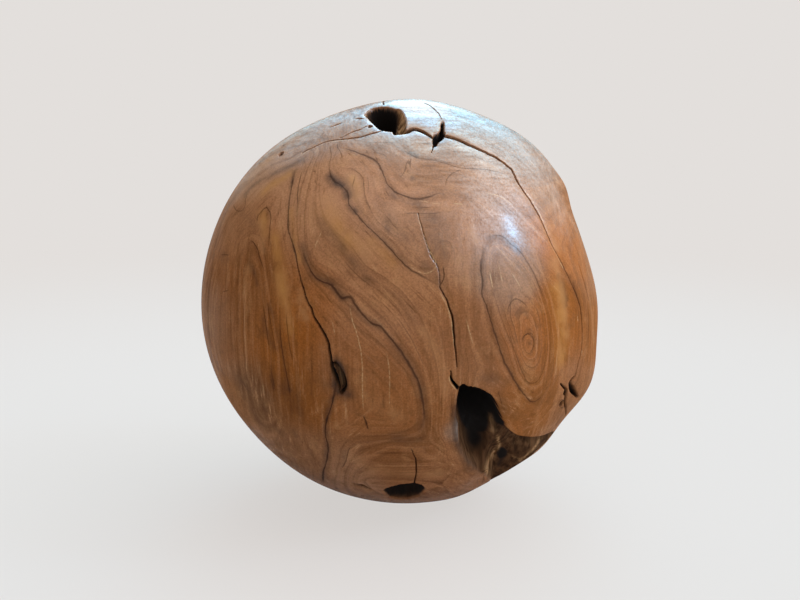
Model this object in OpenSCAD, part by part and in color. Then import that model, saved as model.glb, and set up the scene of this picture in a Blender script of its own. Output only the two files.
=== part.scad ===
// A floor ball carved from one block of old root wood.
// It touches the ground at the origin, and its middle lies above it on the Z axis.
// Its face keeps the block's faults: a hollow on the right, holes at crown and base, and cracks.
// Places on the face are picture points of a front view, 800 wide and 600 high,
// which looks along +Y and a little down on the ball.

/* [Ball] */
// Width across the plain round of the ball
ball_d = 398; // [260:1:640]
// Height of the swell of the crown
crown_swell_h = 6.5; // [0:0.5:12]
// Height of the swell of the right shoulder
shoulder_swell_h = 7.5; // [0:0.5:14]
// Depth of the dip in the right flank, under the shoulder
flank_dip = 8; // [0:0.5:14]
// Height of the knee low on the right
knee_swell_h = 8.5; // [0:0.5:14]
// Height of the swell of the left shoulder
left_swell_h = 3; // [0:0.5:10]
// Depth of the dip low on the left
left_dip = 3; // [0:0.5:10]
// Height of the swell of the belly, low at the front
belly_swell_h = 2; // [0:0.5:8]
// Depth of the dip where the channel of the side hollow runs out
run_out_dip = 6; // [0:0.5:10]

/* [Crown] */
// Width of the hole in the crown
crown_hole_w = 30; // [20:1:42]
// Depth of the hole in the crown
crown_hole_depth = 62; // [35:1:110]
// Depth of the chipped lip on the right of the hole
crown_chip_depth = 9; // [3:0.5:16]
// Width of the pit beside the hole
crown_pit_w = 10; // [5:0.5:16]
// Depth of the pit
crown_pit_depth = 26; // [12:1:45]

/* [Side hollow] */
// Width of the deep part under the arch
hollow_w = 44; // [34:1:52]
// Depth of the deep part
hollow_depth = 92; // [60:1:120]
// Width of the channel that runs down from the deep part
channel_w = 46; // [36:1:54]
// Depth of the channel
channel_depth = 24; // [14:1:32]
// Width of the shelf under the right rim
shelf_w = 58; // [44:1:66]
// Depth of the shelf under the right rim
shelf_depth = 20; // [12:1:28]
// Width of the small pocket in the shelf
shelf_pocket_w = 13; // [8:0.5:16]
// Depth of the small pocket, from the ball's surface
shelf_pocket_depth = 25; // [22:1:32]

/* [Base hole] */
// Width of the hole near the base
base_hole_w = 46; // [30:1:58]
// Depth of the hole near the base
base_hole_depth = 52; // [35:1:90]

/* [Cracks] */
// Widest gap of the long crack on the right
long_crack_w = 4.4; // [2:0.2:8]
// Depth of the long crack
long_crack_depth = 16; // [6:1:30]
// Widest gap of the crack on the left
left_crack_w = 3.4; // [1.6:0.2:7]
// Depth of the crack on the left
left_crack_depth = 13; // [5:1:26]
// Widest gap of the crack above the side hollow
middle_crack_w = 3.2; // [1.6:0.2:7]
// Depth of the crack above the side hollow
middle_crack_depth = 14; // [5:1:26]
// Widest gap of the torn lip between crown hole and pit
lip_crack_w = 5; // [2:0.2:8]
// Depth of the torn lip
lip_crack_depth = 15; // [6:1:28]
// Widest gap of the crack above the base hole
base_crack_w = 2; // [1:0.2:4]
// Depth of the crack above the base hole
base_crack_depth = 9; // [4:1:18]
// Widest gap of the slits in the knee
knee_slit_w = 5; // [2.4:0.2:8]
// Depth of the slits in the knee
knee_slit_depth = 12; // [5:1:22]
// Widest gap of the short slits low on the left
short_slit_w = 2.4; // [1.2:0.2:4]
// Depth of the short slits
short_slit_depth = 6; // [3:0.5:12]

/* [Worm holes] */
// Width of a worm hole
worm_hole_d = 4.4; // [2.5:0.1:7]
// Depth of a worm hole
worm_hole_depth = 16; // [6:1:30]

/* [Hidden] */

wood_colour = "#8b5a36";

// Front view: picture point of the ball's middle, focal length in picture points,
// tilt, and the eye's distance as a share of the ball's radius
view_middle_px = [399.4, 302.5];
view_focal_px = 1333;
view_tilt = 12;
eye_distance_share = 6.78;

// Rings of facets from pole to equator, and rounds of the search for a picture point
ring_count = 28;
search_rounds = 5;

// How far a cut runs out past the surface
overrun = 3;
// Gap at the closed end of a crack
crack_tip_w = 0.6;
// Gap of a crack along its length, from the first to the last point, as shares of its widest gap
opening_crack_shares = [0.3, 1];
closing_crack_shares = [1, 0.3];
lens_crack_shares = [0.55, 0.55];

// Facets round a dent
dent_facets = 20;
worm_hole_facets = 10;
// Depth of a hole's mouth, and width of its floor, as shares of the hole's width
mouth_sink_share = 0.3;
floor_w_share = 0.5;

ball_r = ball_d / 2;

// Swells and dips of the round: crown, shoulder, flank, knee, left shoulder, low left, belly and run-out.
// Their places, their spreads in degrees and their heights
swell_px = [[430, 106], [525, 147], [588, 240], [582, 380], [260, 163], [252, 436], [427, 498], [488, 478]];
swell_spread_angles = [20, 15, 14, 10, 22, 22, 14, 6];
swell_heights = [crown_swell_h, shoulder_swell_h, -flank_dip, knee_swell_h, left_swell_h, -left_dip,
    belly_swell_h, -run_out_dip];

// Crown: near and far end of the hole, its floor, the chipped lip and the pit
crown_near_px = [384, 121];
crown_far_px = [386, 110];
crown_floor_px = [390, 118];
crown_chip_px = [[398, 114], [396, 125]];
crown_pit_px = [[441, 135], [437, 143]];
crown_pit_dot_px = [443, 124];

// Side hollow: mouth and floor of the deep part, the channel, the shelf and its pocket
hollow_mouth_px = [[475, 400], [487, 411]];
hollow_floor_px = [486, 376];
channel_px = [[474, 418], [473, 442], [480, 468]];
channel_depth_shares = [1, 0.85, 0.3];
shelf_px = [[503, 442], [521, 447], [545, 440]];
shelf_depth_shares = [0.95, 0.8, 0.35];
shelf_pocket_px = [502, 453];

// Base hole: left and right end of its mouth, and its floor
base_hole_px = [[400, 491], [413, 491]];
base_floor_px = [408, 476];

// Cracks and slits, each along its run
long_crack_px = [[443, 135], [460, 140], [475, 147], [500, 159], [513, 171], [519, 184], [532, 203],
    [542, 222], [552, 245], [565, 270], [575, 292], [580, 306], [582, 324], [582, 346], [578, 364]];
left_crack_px = [[296, 259], [302, 284], [306, 296], [311, 309], [315, 319], [324, 335], [328, 346],
    [330, 359], [334, 370], [339, 384]];
middle_crack_px = [[440, 287], [447, 301], [452, 316], [455, 333], [456, 350], [457, 369], [453, 379],
    [459, 388]];
lip_crack_px = [[396, 130], [406, 133], [414, 130], [420, 131], [432, 137]];
base_crack_px = [[411, 450], [416, 463], [415, 475], [414, 485]];
knee_slit_px = [[574, 377], [572, 383], [578, 396]];
knee_notch_px = [[561, 384], [567, 391], [566, 398], [566, 415]];
low_slit_px = [[355, 485], [369, 489]];
left_slit_px = [[364, 417], [368, 428]];

// Worm holes in the crown, the left shoulder and the knee
worm_hole_px = [[281, 154], [371, 125], [563, 406]];

function unit(v) = v / norm(v);

// Direction, from the middle of a ball of radius r, of what shows at a picture point
function aim(p, r) =
    let (
        eye = eye_distance_share * ball_r,
        ray = unit([
            (p[0] - view_middle_px[0]) / view_focal_px,
            (view_middle_px[1] - p[1]) / view_focal_px,
            -1
        ]),
        along = -ray[2] * eye,
        miss = eye * eye - along * along,
        hit = [0, 0, eye] + (along - sqrt(max(0, r * r - miss))) * ray
    )
    unit([
        hit[0],
        hit[1] * sin(view_tilt) - hit[2] * cos(view_tilt),
        hit[1] * cos(view_tilt) + hit[2] * sin(view_tilt)
    ]);

// Directions of the middles of the swells
swell_aims = [for (p = swell_px) aim(p, ball_r)];

// Angle between two directions
function turn(a, b) = acos(max(-1, min(1, a * b)));

// Radius of the carved ball in a direction
function reach(d, i = 0) =
    i == len(swell_aims) ? ball_r :
    swell_heights[i] * exp(-pow(turn(d, swell_aims[i]) / swell_spread_angles[i], 2)) + reach(d, i + 1);

// Direction of the surface at a picture point, found by a few rounds of aiming
function spot(p, r = ball_r, rounds = search_rounds) =
    let (d = aim(p, r))
    rounds == 0 ? d : spot(p, reach(d), rounds - 1);

// Height of the ball's middle over the ground
middle_z = reach([0, 0, -1]);

// Point at a depth under the surface, in a direction
function under(d, depth) = [0, 0, middle_z] + (reach(d) - depth) * d;

// The round of the ball: rings of facets, four more in each ring up to the equator

function ring_size(i) = max(1, 4 * min(i, 2 * ring_count - i));
function ring_start(i) =
    i == 0 ? 0 :
    i <= ring_count ? 1 + 2 * i * (i - 1) :
    let (k = 2 * ring_count - i) 4 * ring_count * ring_count + 1 - 2 * k * (k + 1);
function ring_point(i, m) = ring_start(i) + m % ring_size(i);

// Facets between ring i, of k facets a quarter, and the next larger ring j
function ring_facets(i, j, k) = [
    for (q = [0:3], m = [0:k])
        let (
            near = q * k + m,
            far = q * (k + 1) + m
        )
        each [
            [ring_point(i, near), ring_point(j, far), ring_point(j, far + 1)],
            if (m < k) [ring_point(i, near), ring_point(j, far + 1), ring_point(i, near + 1)]
        ]
];

function turned_over(facets) = [for (f = facets) [f[0], f[2], f[1]]];

module carved_round() {
    points = [
        for (i = [0:2 * ring_count], m = [0:ring_size(i) - 1])
            let (
                down = 90 * i / ring_count,
                round = 360 * m / ring_size(i),
                d = [sin(down) * cos(round), sin(down) * sin(round), cos(down)]
            )
            under(d, 0)
    ];
    upper = [for (k = [0:ring_count - 1]) each ring_facets(k, k + 1, k)];
    lower = [for (k = [0:ring_count - 1]) each ring_facets(2 * ring_count - k, 2 * ring_count - k - 1, k)];
    polyhedron(points, concat(turned_over(upper), lower));
}

// A round dent of a width, sunk so that its floor lies at a depth
module dent(p, width, depth) {
    translate(under(spot(p), depth - width / 2))
        sphere(d = width, $fn = dent_facets);
}

// A hole from its mouth, at one or two points, to a narrower floor
module hole(mouth, floor, width, depth) {
    hull() {
        for (p = mouth)
            dent(p, width, width * (mouth_sink_share + 1 / 2));
        dent(floor, width * floor_w_share, depth);
    }
}

// A groove of dents along its points, with the depth at each point as a share of the full depth
module groove(points, width, depth, depth_shares) {
    for (i = [0:len(points) - 2])
        hull()
            for (j = [i, i + 1])
                dent(points[j], width, depth * depth_shares[j]);
}

// Facets of a wedge swept through a number of three-cornered sections
function wedge_facets(count) = concat(
    [[0, 2, 1]],
    [
        for (i = [0:count - 2], m = [0:2])
            let (
                a = 3 * i + m,
                b = 3 * i + (m + 1) % 3
            )
            each [[a, b, b + 3], [a, b + 3, a + 3]]
    ],
    [[3 * count - 3, 3 * count - 2, 3 * count - 1]]
);

// Section of a crack at one of its points: two edges over the surface and a root under it
function crack_section(aims, i, width, depth) =
    let (
        last = len(aims) - 1,
        run = under(aims[min(i + 1, last)], 0) - under(aims[max(i - 1, 0)], 0),
        across = unit(cross(run, aims[i])),
        half_gap = width / 2 * (depth + overrun) / depth
    )
    [
        under(aims[i], -overrun) + half_gap * across,
        under(aims[i], -overrun) - half_gap * across,
        under(aims[i], depth)
    ];

// A crack along its points; its ends close to a hair unless the shares keep them open
module crack(points, width, depth, shares) {
    aims = [for (p = points) spot(p)];
    last = len(points) - 1;
    sections = [
        for (i = [0:last])
            let (
                share = i * 2 < last
                    ? shares[0] + (1 - shares[0]) * 2 * i / last
                    : 1 + (shares[1] - 1) * (2 * i / last - 1)
            )
            each crack_section(aims, i, max(crack_tip_w, width * share), depth)
    ];
    polyhedron(sections, wedge_facets(last + 1));
}

module worm_hole(p) {
    hull()
        for (depth = [-overrun, worm_hole_depth])
            translate(under(spot(p), depth))
                sphere(d = worm_hole_d, $fn = worm_hole_facets);
}

module crown_faults() {
    hole([crown_near_px, crown_far_px], crown_floor_px, crown_hole_w, crown_hole_depth);
    hull()
        for (p = crown_chip_px)
            dent(p, crown_hole_w / 2, crown_chip_depth);
    hole(crown_pit_px, crown_pit_px[1], crown_pit_w, crown_pit_depth);
    hull() {
        dent(crown_pit_px[0], crown_pit_w / 2, crown_pit_w / 2);
        dent(crown_pit_dot_px, crown_pit_w / 2, crown_pit_w / 2);
    }
    crack(lip_crack_px, lip_crack_w, lip_crack_depth, closing_crack_shares);
}

module side_hollow() {
    hole(hollow_mouth_px, hollow_floor_px, hollow_w, hollow_depth);
    groove(channel_px, channel_w, channel_depth, channel_depth_shares);
    groove(shelf_px, shelf_w, shelf_depth, shelf_depth_shares);
    dent(shelf_pocket_px, shelf_pocket_w, shelf_pocket_depth);
}

module cracks() {
    crack(long_crack_px, long_crack_w, long_crack_depth, closing_crack_shares);
    crack(left_crack_px, left_crack_w, left_crack_depth, opening_crack_shares);
    crack(middle_crack_px, middle_crack_w, middle_crack_depth, opening_crack_shares);
    crack(base_crack_px, base_crack_w, base_crack_depth, opening_crack_shares);
    for (run = [knee_slit_px, knee_notch_px])
        crack(run, knee_slit_w, knee_slit_depth, lens_crack_shares);
    for (run = [low_slit_px, left_slit_px])
        crack(run, short_slit_w, short_slit_depth, opening_crack_shares);
}

module ball() {
    color(wood_colour)
        difference() {
            carved_round();
            crown_faults();
            side_hollow();
            hole(base_hole_px, base_floor_px, base_hole_w, base_hole_depth);
            cracks();
            for (p = worm_hole_px)
                worm_hole(p);
        }
}

ball();
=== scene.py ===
import math

import bpy
import numpy as np
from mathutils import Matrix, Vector, noise


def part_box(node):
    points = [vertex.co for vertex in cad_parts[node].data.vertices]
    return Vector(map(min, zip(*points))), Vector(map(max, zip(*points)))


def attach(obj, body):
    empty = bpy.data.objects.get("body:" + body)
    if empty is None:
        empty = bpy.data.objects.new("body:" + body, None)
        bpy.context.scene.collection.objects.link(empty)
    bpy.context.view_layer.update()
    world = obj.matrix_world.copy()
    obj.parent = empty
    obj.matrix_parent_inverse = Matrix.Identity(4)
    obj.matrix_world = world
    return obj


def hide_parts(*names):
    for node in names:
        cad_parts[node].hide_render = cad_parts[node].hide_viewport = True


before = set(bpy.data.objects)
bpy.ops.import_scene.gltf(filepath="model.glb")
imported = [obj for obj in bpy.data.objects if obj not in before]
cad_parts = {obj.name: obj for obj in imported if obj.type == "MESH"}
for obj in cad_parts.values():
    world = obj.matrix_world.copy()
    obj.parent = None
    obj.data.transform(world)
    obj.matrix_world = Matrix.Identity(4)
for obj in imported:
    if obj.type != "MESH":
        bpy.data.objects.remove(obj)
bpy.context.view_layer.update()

# Sizes are metres. The round of the ball comes from the frame.
MM = 0.001
BALL_LOW, BALL_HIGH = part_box("ball")
BALL_R = (BALL_HIGH.y - BALL_LOW.y) / 2
MIDDLE = np.array([0.0, 0.0, BALL_LOW.z + BALL_R])

# The photograph's view: picture and sensor width, picture point of the ball's middle, focal length
# in picture points, tilt, and the eye's distance from the ball's middle
PICTURE_W = 800
SENSOR_W = 36
MIDDLE_PX = (400.0, 303.5)
CENTRE_PX = (400, 300)
FOCAL_PX = 1333
VIEW_TILT = math.radians(12)
EYE_DISTANCE = 6.78 * BALL_R
VIEW_RIGHT = np.array([1.0, 0.0, 0.0])
VIEW_UP = np.array([0.0, math.sin(VIEW_TILT), math.cos(VIEW_TILT)])
VIEW_BACK = np.array([0.0, -math.cos(VIEW_TILT), math.sin(VIEW_TILT)])

# Swells and dips of the carved round: picture point, spread in degrees, height in millimetres
SWELLS = [
    ((430, 106), 20, 6.5),
    ((525, 147), 15, 7.5),
    ((588, 240), 14, -8.0),
    ((582, 380), 10, 8.5),
    ((260, 163), 22, 3.0),
    ((252, 436), 22, -3.0),
    ((427, 498), 14, 2.0),
    ((488, 478), 6, -6.0),
    ((588, 245), 9, 2.0),
    ((546, 160), 7, 0.8),
    ((564, 186), 5, 3.2),
    ((573, 210), 4, -1.8),
    ((540, 446), 7, 3.0),
    ((458, 497), 7, 1.8),
]

# Cracks: route in picture points, widest gap and depth in millimetres, and the gap along the
# route as shares of the widest, at equal steps
LONG_CRACK = [(444, 135), (460, 140), (475, 147), (488, 153), (500, 159.5), (508, 166), (513, 171),
              (519, 184), (532, 203), (542, 222), (552, 245), (565, 270), (575, 292), (579.5, 306),
              (582, 324), (582, 346), (578, 364), (575, 378)]
LEFT_CRACK = [(293, 245), (297, 263), (302, 285), (306, 299), (311, 309), (314, 318), (322, 330), (327, 340),
              (329, 350), (331, 362), (334, 371)]
KNOT_LEFT = [(331, 362), (333, 371), (336, 381), (339, 391)]
KNOT_RIGHT = [(332, 363), (338, 367), (343, 377), (345, 386), (341, 393)]
MIDDLE_CRACK = [(439.5, 287), (447, 301), (452, 316), (454.6, 333), (455.5, 350), (457, 367)]
HOLLOW_CRACK = [(450.5, 371), (451.5, 378), (454, 383.5), (458, 388.5)]
MIDDLE_HAIR = [(418, 213), (422, 230), (431, 255), (438.6, 270), (439.5, 287)]
PIT_TAIL = [(433.5, 145), (432.5, 149), (431.5, 153)]
LIP_CRACK = [(396, 129), (400, 131), (407, 130.5), (414, 128.5), (421, 130), (432, 137)]
CROWN_LINE = [(382, 130), (370, 134), (359, 137), (340, 139.5), (325, 142), (312, 148), (302, 153)]
CROWN_BRANCH = [(366, 126), (360, 129), (350, 133), (340, 138)]
BASE_CRACK = [(411, 449), (414, 456), (416, 463), (416, 475), (414, 484)]
KNEE_SLIT = [(574, 377), (571, 383), (574, 390), (578, 397)]
KNEE_NOTCH = [(561, 384), (567, 391), (566, 398), (566, 406), (566, 415)]
LOW_SLIT = [(354, 484), (361, 487), (370, 489.5)]
LEFT_SLIT = [(364, 417), (366, 423), (368, 429)]
OUTER_LINE = [(578.6, 264), (582, 275), (585, 285), (589, 301)]
CRACKS = [
    (LONG_CRACK, 5.2, 13, (1.0, 0.75, 0.5, 0.24, 0.16, 0.14, 0.14, 0.18, 0.14)),
    (LEFT_CRACK, 2.7, 10, (0.25, 0.4, 0.6, 0.8, 0.9, 1.0)),
    (KNOT_LEFT, 5.0, 8, (0.6, 1.0, 0.3)),
    (KNOT_RIGHT, 4.4, 6, (0.5, 0.8, 1.0)),
    ([(335, 363), (339, 374), (342, 387)], 8.0, 5, (0.5, 1.0, 0.8)),
    (MIDDLE_CRACK, 1.9, 9, (0.4, 0.6, 0.9, 1.0, 0.7, 0.3)),
    (HOLLOW_CRACK, 3.2, 12, (0.2, 0.7, 0.9, 1.0)),
    (MIDDLE_HAIR, 0.7, 1.5, (0.6, 0.8, 0.9, 1.0)),
    (LIP_CRACK, 7.5, 12, (1.0, 0.9, 0.7, 0.45)),
    (PIT_TAIL, 1.6, 3, (1.0, 0.6, 0.3)),
    (CROWN_LINE, 2.0, 5, (1.0, 0.8, 0.5, 0.35, 0.25)),
    (CROWN_BRANCH, 1.6, 3, (0.8, 1.0, 0.5)),
    (BASE_CRACK, 1.6, 7, (0.4, 0.8, 1.0)),
    (KNEE_SLIT, 9.0, 14, (0.3, 1.0, 0.5)),
    (KNEE_NOTCH, 4.4, 9, (0.5, 1.0, 0.8, 0.5)),
    (LOW_SLIT, 8.0, 12, (0.3, 1.0, 0.5)),
    (LEFT_SLIT, 1.5, 4, (0.4, 1.0, 0.4)),
    (OUTER_LINE, 1.0, 2, (0.4, 1.0, 0.5)),
    ([(330, 127), (341, 123)], 2.4, 5, (0.5, 1.0, 0.5)),
    ([(345, 108.7), (353, 108)], 2.6, 5, (0.4, 1.0, 0.5)),
    ([(356, 118.7), (363, 118.3)], 2.4, 5, (0.5, 1.0, 0.5)),
    ([(383, 101), (383.7, 104.5)], 2.0, 4, (0.6, 1.0, 0.6)),
    ([(424, 102.5), (432, 107), (439, 114), (442, 119)], 1.4, 3, (0.5, 0.8, 0.5)),
]
CRACK_LIP_DROP = 0.35 * MM
CRACK_LIP_W = 1.1 * MM

# Outlines of the holes, in picture points
CROWN_HOLE = [(364, 114), (371, 108), (383, 106), (394, 108), (398, 113), (397, 121), (396, 128), (394, 131),
              (386, 130.5), (380, 129), (374.5, 124.5), (369, 119)]
CROWN_CHIP = [(392, 108), (400, 109), (405, 115), (407, 124), (405, 131), (398, 134), (392, 131)]
CROWN_PIT = [(433.5, 146.5), (432.6, 140), (434, 134), (438.5, 132), (440.8, 128), (441, 124), (442.6, 120.5),
             (444.6, 123.5), (444.4, 129), (445.5, 134), (443, 138.5), (438.5, 142), (436, 146)]
BASE_HOLE = [(381, 491), (386, 488.5), (392, 486.5), (400, 484.5), (414, 483), (422, 485), (427, 490),
             (421, 496), (412, 499), (400, 500), (388, 498)]
BASE_SOFT_EDGE = [(427, 490), (421, 496), (412, 499), (400, 500), (388, 498), (381, 491)]

# Side hollow: its sharp rim, its soft edges, and the forms inside, in picture points
HOLLOW_RIM = [(458, 389), (460, 386), (464, 384.5), (468, 386.5), (476, 387.5), (486, 392), (493, 397),
              (498, 406), (503.5, 421), (511, 431), (521, 436), (541, 436), (553, 431)]
HOLLOW_FAR_EDGE = [(553, 431), (536, 449.5), (520.5, 461), (502, 470), (487, 477)]
HOLLOW_LEFT_EDGE = [(487, 477), (475, 472), (463, 462), (456, 449), (454, 430), (455, 411), (458, 389)]
FAR_EDGE_SHARE = 1.06
HOLLOW_DEEP = [(473, 399), (484, 405), (491, 412)]
HOLLOW_CHANNEL = [(475, 414), (473, 428), (473, 442), (479, 464)]
HOLLOW_RIDGE = [(496, 437), (500, 446), (493, 457), (487, 467), (486, 476)]
HOLLOW_POCKET = (502, 453)
ARCH_TOP = (478, 380)
ARCH_FOOT = (474, 420)

# Worm holes: picture point, width and depth in millimetres
WORM_HOLES = [((281, 154), 6.0, 16), ((370, 126), 4.4, 12), ((566, 392.5), 6.5, 14), ((561.5, 404), 6.5, 14)]

# Growth lines of the wood: level, and a route in picture points along which the level holds
GROWTH_LINES = [
    (12, [(246, 207), (259, 192), (273, 180), (289, 171), (294, 172), (291, 185), (288.6, 213), (292, 240),
          (301, 274), (311, 307), (321, 329), (331, 360), (335, 386), (330, 413), (325.5, 438), (327, 459),
          (323, 482)]),
    (10, [(255.6, 226), (257.5, 218), (261, 211), (265.4, 208), (269, 211), (271, 218), (270.6, 232),
          (274, 275), (284, 335), (292, 395), (291, 450)]),
    (8, [(247, 252), (248, 244), (251.6, 239.4), (255.6, 245.3), (261.4, 266), (268.5, 310), (275, 360),
         (278, 420)]),
    (7, [(252, 275), (254, 300), (256, 330), (259, 365), (262, 410)]),
    (8, [(243, 275), (243, 330), (249, 395)]),
    (10, [(233, 250), (231, 275), (231, 330), (237, 395), (243, 420)]),
    (12, [(222, 255), (219, 280), (219, 330), (226, 390)]),
    (14, [(212, 265), (207.5, 320), (210, 350)]),
    (14, [(238, 190), (250, 180), (275, 164), (290, 158)]),
    (16, [(245, 172), (262, 160), (280, 150), (296, 146)]),
    (18, [(255, 155), (275, 142), (297, 134)]),
    (15, [(318, 152), (306, 185), (301, 222), (303, 247), (307, 265), (319, 279), (333, 288), (342, 297),
          (352, 300), (364.5, 317.5), (379.6, 326), (392, 341), (407, 360), (418.7, 382), (423.7, 408),
          (421.6, 431), (404, 436.5), (372, 442), (355, 446), (346.7, 457), (340, 480)]),
    (19, [(320, 165), (317, 205), (325.5, 231), (345, 250.6), (361, 271.5), (383, 283), (405, 305),
          (424, 340), (436, 385), (437, 432)]),
    (24, [(330, 160), (332, 178.7), (343.8, 189), (349, 204.8), (363.4, 222), (383, 241.4), (400, 259.7),
          (415.4, 273), (430, 280), (439, 287), (447, 301), (454.6, 333), (457, 369), (452, 400),
          (450, 430), (462, 470)]),
    (26, [(351, 167), (363.4, 179), (366, 200), (380, 224), (403.4, 242.3), (411.4, 255.7), (422, 262.4),
          (430, 259.7), (436, 250)]),
    (25, [(404, 258), (410, 265), (423.5, 271), (432.9, 269), (438, 262), (444, 252)]),
    (28, [(347.7, 148.6), (370, 157), (383, 173.4), (394.8, 191.7), (415.4, 198.8), (428.8, 196.8),
          (443.6, 191.4)]),
    (27, [(390, 203.5), (410, 213.5), (441, 211.5)]),
    (27, [(462, 215), (461, 240), (463, 290), (470, 340), (476, 360)]),
    (29, [(497, 236), (489, 239), (483.7, 249), (482, 280), (487.6, 313), (497.7, 346), (510.6, 376),
          (525, 397.7), (531.4, 402), (540, 397), (547, 383), (551, 365), (552, 342), (549, 315),
          (539, 283), (530, 266), (518, 249), (505, 239)]),
    (31, [(490, 258), (490.4, 280), (500, 312), (513, 347), (520.6, 374.7), (527.8, 382), (537.8, 382.6),
          (543, 373), (547, 350), (545, 318), (537, 291), (524, 268), (508, 254), (497, 249)]),
    (33, [(512, 301.5), (509, 309), (517, 338), (522, 356), (528, 365), (536, 366), (540, 354.6),
          (541, 337), (538, 314), (529, 301.5), (519, 298.7)]),
    (35, [(528, 333.8), (532.8, 337.4), (534, 344.6), (531.4, 352.5), (527, 352.5), (523.5, 346),
          (523.5, 338.8)]),
    (36, [(528.5, 342), (528.5, 344)]),
    (26, [(562, 262), (576, 300), (582.5, 335), (578.5, 364), (572, 385)]),
    (24, [(578, 258), (586.5, 290), (591.5, 330), (585, 372)]),
    (31, [(433, 159), (473, 166), (512, 177)]),
    (30, [(489, 188.7), (501, 194), (521, 208.8)]),
    (28.5, [(490, 215), (500, 222)]),
    (34, [(450, 128), (480, 137), (508, 152)]),
    (36, [(420, 115), (450, 118), (480, 126)]),
    (17, [(390, 445), (407, 447), (440, 448)]),
    (18.5, [(380, 464), (400, 465), (430, 466), (450, 467)]),
    (20, [(365, 480), (404, 480), (433, 482.4), (447.4, 489.6)]),
]

# Dark veins: route and strength
VEINS = [
    ([(329.4, 160), (329.4, 168), (330.7, 176), (334.6, 181), (342.5, 186.5), (347.7, 194), (349, 204.8),
      (354, 211), (362, 220.5), (375, 233.6), (387, 245), (400, 259.7), (409, 268.5), (421, 275.5),
      (431, 281), (439, 287)], 0.8),
    ([(302, 245), (304.6, 256), (308.5, 266), (315, 276.7), (322.9, 282), (330.7, 284.5), (337, 292.5),
      (343, 298.7), (350, 296), (355, 304), (363.6, 316), (373.6, 324.5), (380.8, 326), (390.8, 338.8),
      (399.4, 349), (411.5, 369), (418.7, 383), (422, 397.7), (424.4, 416), (420, 431)], 0.85),
    ([(337, 376), (335.5, 388), (331.3, 406), (326, 423.5), (325.5, 435), (328.4, 449), (326, 463.6),
      (323.4, 472), (323.4, 484)], 1.0),
    ([(487, 243), (482.4, 255), (481, 269), (482.4, 282.5), (482, 294), (487.6, 310), (496, 337),
      (504.8, 362), (516, 383), (527.8, 399), (533.5, 402), (539, 399), (547, 391)], 0.75),
    ([(295, 170), (292, 185), (289.5, 200), (288, 225), (290, 236), (293, 245), (297, 263)], 0.8),
    ([(341, 147), (357, 152.5), (370, 157.7), (377.8, 163), (383, 173.4), (388, 185), (396, 192.5),
      (404, 195.5), (414, 198.8), (426, 198), (443.6, 191.4)], 0.75),
]

# Fine lines: route and strength
FINE_LINES = [
    ([(256, 220.5), (258.8, 215), (265.4, 207.4), (268.6, 210), (271, 216.6), (270, 225.7), (268.6, 246.6)],
      0.8),
    ([(249.7, 240), (253.6, 242.7), (257.5, 249), (260, 258.4), (264, 270)], 0.9),
    ([(233, 203.5), (236, 210), (241.8, 210.7), (245, 206), (245.8, 198), (248.4, 191.7)], 0.7),
    ([(302, 171), (298, 189), (297.4, 206)], 0.8),
    ([(350, 168), (359.5, 173.4), (363.4, 180), (364, 189), (366, 199.6), (372.5, 212.6)], 0.5),
    ([(353.5, 447), (349, 449), (346, 460.8), (342, 468)], 0.8),
    ([(390, 481), (404, 480), (433, 482), (442, 485), (450, 489.6)], 0.5),
    ([(396, 150), (405, 151.5), (411, 155), (420, 158.5), (433, 160), (449, 164.5), (462, 168), (489, 170),
      (505, 174)], 0.6),
    ([(372, 152.5), (381, 153.5), (387, 157)], 0.5),
    ([(329.8, 145), (331.2, 155), (329.5, 164)], 0.6),
    ([(489, 237), (501, 235.6), (510.5, 243.7), (518.6, 250), (526, 260), (533, 272), (539, 286),
      (545, 302)], 0.6),
    ([(263, 304), (266, 325), (269.5, 349)], 0.8),
    ([(280, 322), (281.5, 345), (286, 372), (291, 398)], 0.8),
    ([(443, 266), (444, 277), (440, 286)], 0.9),
    ([(507.7, 314), (509, 306), (515, 298.7), (523.5, 303), (527.8, 307)], 0.7),
    ([(507.7, 327), (512, 343), (517.7, 360), (523.5, 374.7), (527.8, 382), (535, 383), (539, 379),
      (543.6, 369), (546, 352)], 0.6),
    ([(559, 404), (560, 401), (562.5, 400), (565, 402), (565, 406), (562.5, 408), (560, 407)], 1.0),
    ([(221, 254.6), (229, 255)], 0.7),
    ([(223, 292), (229, 290)], 0.6),
    ([(243, 381), (246, 388)], 0.7),
    ([(497.7, 390.5), (502, 405)], 0.5),
]

# Hair lines between them: route and strength
HAIR_LINES = [
    ([(267, 300), (272, 330), (276, 354)], 0.7),
    ([(286, 314), (289, 342), (293, 362)], 0.7),
    ([(402, 214), (413, 213), (428, 213.6), (441, 212.4)], 0.5),
    ([(271, 370), (276, 392)], 0.5),
    ([(493, 200), (505, 206), (517, 216)], 0.4),
    ([(345, 262), (358, 276), (374, 288)], 0.5),
    ([(398, 318), (412, 340), (424, 366)], 0.4),
    ([(355, 176), (354, 181), (352, 187)], 0.6),
    ([(411, 158), (410, 168)], 0.8),
    ([(337.6, 142.5), (337.4, 147), (341, 153), (342, 159)], 0.6),
    ([(368, 192), (368.6, 184), (367.5, 176)], 0.4),
    ([(401, 177), (405, 170), (407, 161)], 0.6),
    ([(445, 187), (447, 179), (453, 173), (462, 169.5)], 0.5),
    ([(352, 139), (366, 142), (384, 142.5), (402, 143)], 0.35),
    ([(522, 344), (523, 337), (527.5, 333.8), (532, 336.5), (534, 343.5), (531.5, 351), (528, 354)], 0.8),
]

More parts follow.
